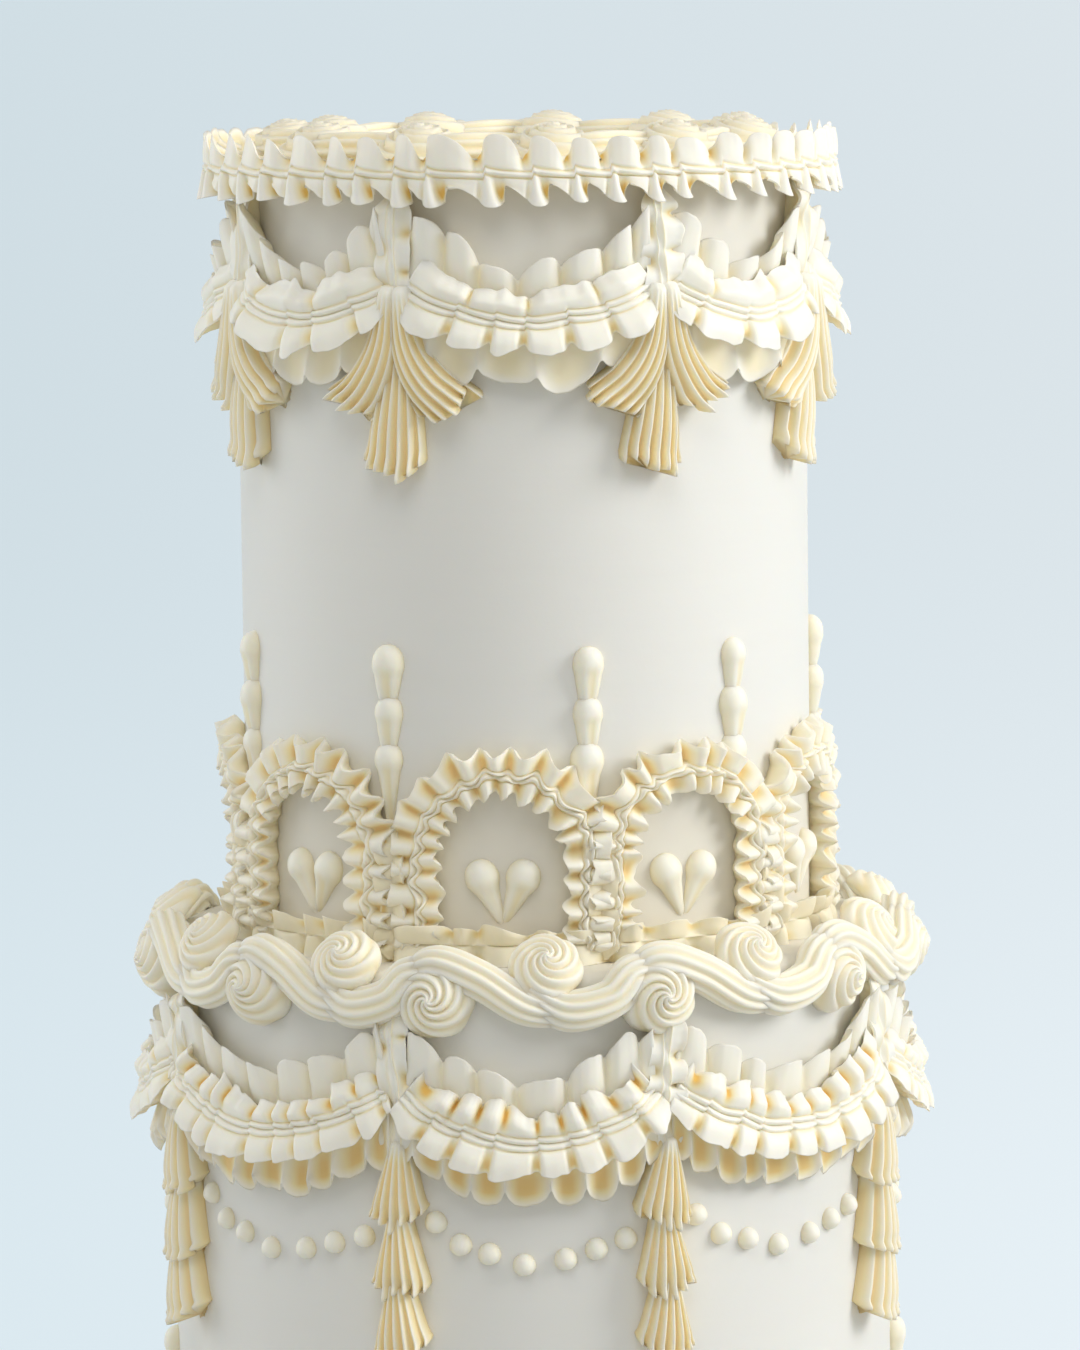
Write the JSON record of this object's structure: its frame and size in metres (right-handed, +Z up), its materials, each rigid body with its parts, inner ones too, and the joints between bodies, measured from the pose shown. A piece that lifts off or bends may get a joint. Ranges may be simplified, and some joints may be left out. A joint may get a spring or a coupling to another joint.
{
  "type": "tiered piped cake",
  "caption": "Tall round tiered cake in white icing, with cream piped ruffles, swags, tassels, arches, hearts, beads and scrolled ropes with rosettes.",
  "frame": {"origin": "middle of the cake's flat underside, on the surface it stands on", "axes": "+Z up through the middle of both tiers; the front seen in the picture faces -Y, and +X is to the right in that view"},
  "size_m": [0.2291, 0.2291, 0.4273],
  "materials": {
    "icing": "smooth white buttercream, satin",
    "piping": "piped cream-coloured buttercream, satin"
  },
  "bodies": {
    "root": {"lower_tier": "icing", "upper_tier": "icing", "top_border": "piping", "top_rosettes": "piping", "upper_base_ruffle": "piping", "ledge_rope": "piping", "base_border": "piping", "upper_swag_1": "piping", "upper_swag_2": "piping", "upper_swag_3": "piping", "upper_swag_4": "piping", "upper_swag_5": "piping", "upper_swag_6": "piping", "upper_swag_7": "piping", "upper_swag_8": "piping", "lower_swag_1": "piping", "lower_swag_2": "piping", "lower_swag_3": "piping", "lower_swag_4": "piping", "lower_swag_5": "piping", "lower_swag_6": "piping", "lower_swag_7": "piping", "lower_swag_8": "piping", "upper_tassel_1": "piping", "upper_tassel_2": "piping", "upper_tassel_3": "piping", "upper_tassel_4": "piping", "upper_tassel_5": "piping", "upper_tassel_6": "piping", "upper_tassel_7": "piping", "upper_tassel_8": "piping", "lower_tassel_1": "piping", "lower_tassel_2": "piping", "lower_tassel_3": "piping", "lower_tassel_4": "piping", "lower_tassel_5": "piping", "lower_tassel_6": "piping", "lower_tassel_7": "piping", "lower_tassel_8": "piping", "upper_arch_1": "piping", "upper_arch_2": "piping", "upper_arch_3": "piping", "upper_arch_4": "piping", "upper_arch_5": "piping", "upper_arch_6": "piping", "upper_arch_7": "piping", "upper_arch_8": "piping", "upper_arch_9": "piping", "lower_arch_1": "piping", "lower_arch_2": "piping", "lower_arch_3": "piping", "lower_arch_4": "piping", "lower_arch_5": "piping", "lower_arch_6": "piping", "lower_arch_7": "piping", "lower_arch_8": "piping", "lower_arch_9": "piping", "lower_arch_10": "piping", "lower_arch_11": "piping"}
  },
  "joints": []
}
